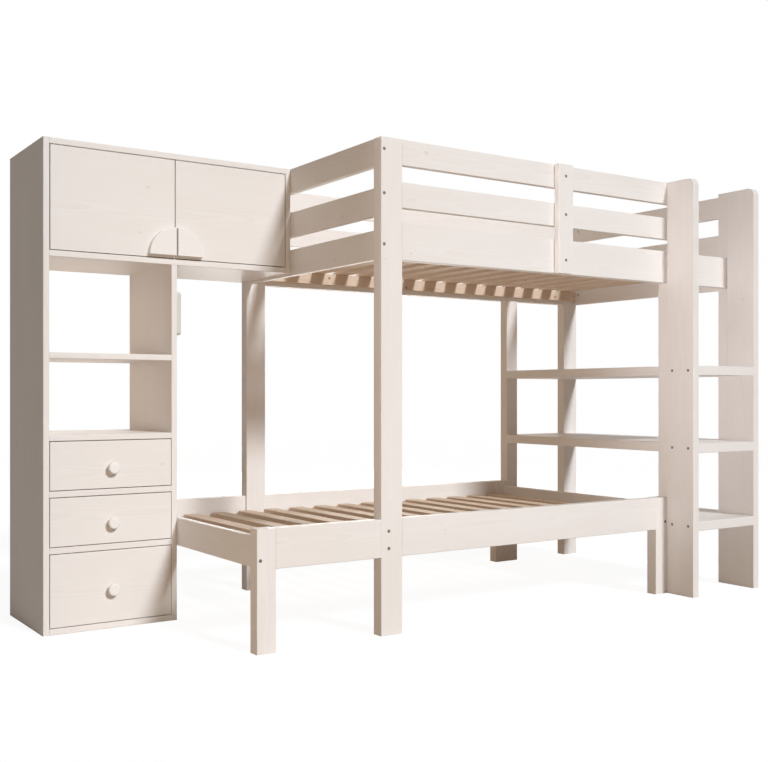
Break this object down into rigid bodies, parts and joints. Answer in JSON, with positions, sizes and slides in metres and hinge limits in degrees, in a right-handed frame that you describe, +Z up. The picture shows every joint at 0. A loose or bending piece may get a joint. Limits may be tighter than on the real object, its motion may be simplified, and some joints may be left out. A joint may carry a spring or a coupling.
{
  "type": "bunk bed",
  "caption": "Bunk bed with staggered upper and lower beds, a cabinet tower with drawers and an overhead cupboard at one end, and shelves with a ladder at the other.",
  "frame": {"origin": "on the floor, under the middle of the bounding box", "axes": "+Z up, +X along the beds from the cabinet tower towards the ladder, -Y towards the open front"},
  "size_m": [2.944, 1.248, 1.76],
  "materials": {
    "painted_pine": "satin warm white paint",
    "painted_trim": "satin warm white paint",
    "bare_pine": "planed, unpainted",
    "drawer_pine": "planed, unpainted",
    "zinc_steel": "dull zinc",
    "runner_steel": "white epoxy",
    "grip_plastic": "matte"
  },
  "bodies": {
    "frame": {"upper_post_front_left": "painted_pine", "upper_post_back_left": "painted_pine", "upper_post_front_right": "painted_pine", "upper_post_back_right": "painted_pine", "upper_side_rails": "painted_pine", "guard_rails_front": "painted_pine", "guard_rails_back": "painted_pine", "guard_stile": "painted_pine", "end_rails_left": "painted_pine", "end_rails_right": "painted_pine", "upper_ledgers": "bare_pine", "upper_slats": "bare_pine", "lower_legs": "painted_pine", "lower_side_rails": "painted_pine", "lower_end_rails": "painted_pine", "lower_ledgers": "bare_pine", "lower_slats": "bare_pine", "shelf_posts": "painted_pine", "shelves": "painted_pine", "ladder_side_left": "painted_pine", "ladder_side_right": "painted_pine", "ladder_steps": "painted_pine", "tower_side_left": "painted_pine", "tower_side_right": "painted_pine", "tower_bottom": "painted_pine", "tower_shelves": "painted_pine", "drawer_dividers": "painted_pine", "overhead_bottom": "painted_pine", "overhead_top": "painted_pine", "overhead_side_right": "painted_pine", "overhead_divider": "painted_pine", "overhead_back": "painted_pine", "drawer_bay_back": "painted_pine", "side_grip": "grip_plastic", "connector_bolts": "zinc_steel", "cross_nuts": "zinc_steel", "drawer_runners": "runner_steel", "door_pivots": "zinc_steel"},
    "left_door": {"door_left": "painted_pine", "door_left_handle": "painted_trim"},
    "right_door": {"door_right": "painted_pine", "door_right_handle": "painted_trim"},
    "low_drawer": {"drawer_low_front": "painted_pine", "drawer_low_sides": "drawer_pine", "drawer_low_back": "drawer_pine", "drawer_low_bottom": "drawer_pine", "drawer_low_slides": "runner_steel", "drawer_low_knob": "painted_trim"},
    "mid_drawer": {"drawer_mid_front": "painted_pine", "drawer_mid_sides": "drawer_pine", "drawer_mid_back": "drawer_pine", "drawer_mid_bottom": "drawer_pine", "drawer_mid_slides": "runner_steel", "drawer_mid_knob": "painted_trim"},
    "top_drawer": {"drawer_top_front": "painted_pine", "drawer_top_sides": "drawer_pine", "drawer_top_back": "drawer_pine", "drawer_top_bottom": "drawer_pine", "drawer_top_slides": "runner_steel", "drawer_top_knob": "painted_trim"}
  },
  "joints": [
    {"name": "left_door_hinge", "type": "hinge", "parent": "frame", "child": "left_door", "pos_m": [-1.433, 0.188, 1.55], "axis": [0, 0, -1], "range_deg": [0, 100]},
    {"name": "right_door_hinge", "type": "hinge", "parent": "frame", "child": "right_door", "pos_m": [-0.525, 0.188, 1.55], "axis": [0, 0, 1], "range_deg": [0, 90]},
    {"name": "low_drawer_slide", "type": "slide", "parent": "frame", "child": "low_drawer", "axis": [0, -1, 0], "range_m": [0, 0.32]},
    {"name": "mid_drawer_slide", "type": "slide", "parent": "frame", "child": "mid_drawer", "axis": [0, -1, 0], "range_m": [0, 0.32]},
    {"name": "top_drawer_slide", "type": "slide", "parent": "frame", "child": "top_drawer", "axis": [0, -1, 0], "range_m": [0, 0.32]}
  ]
}
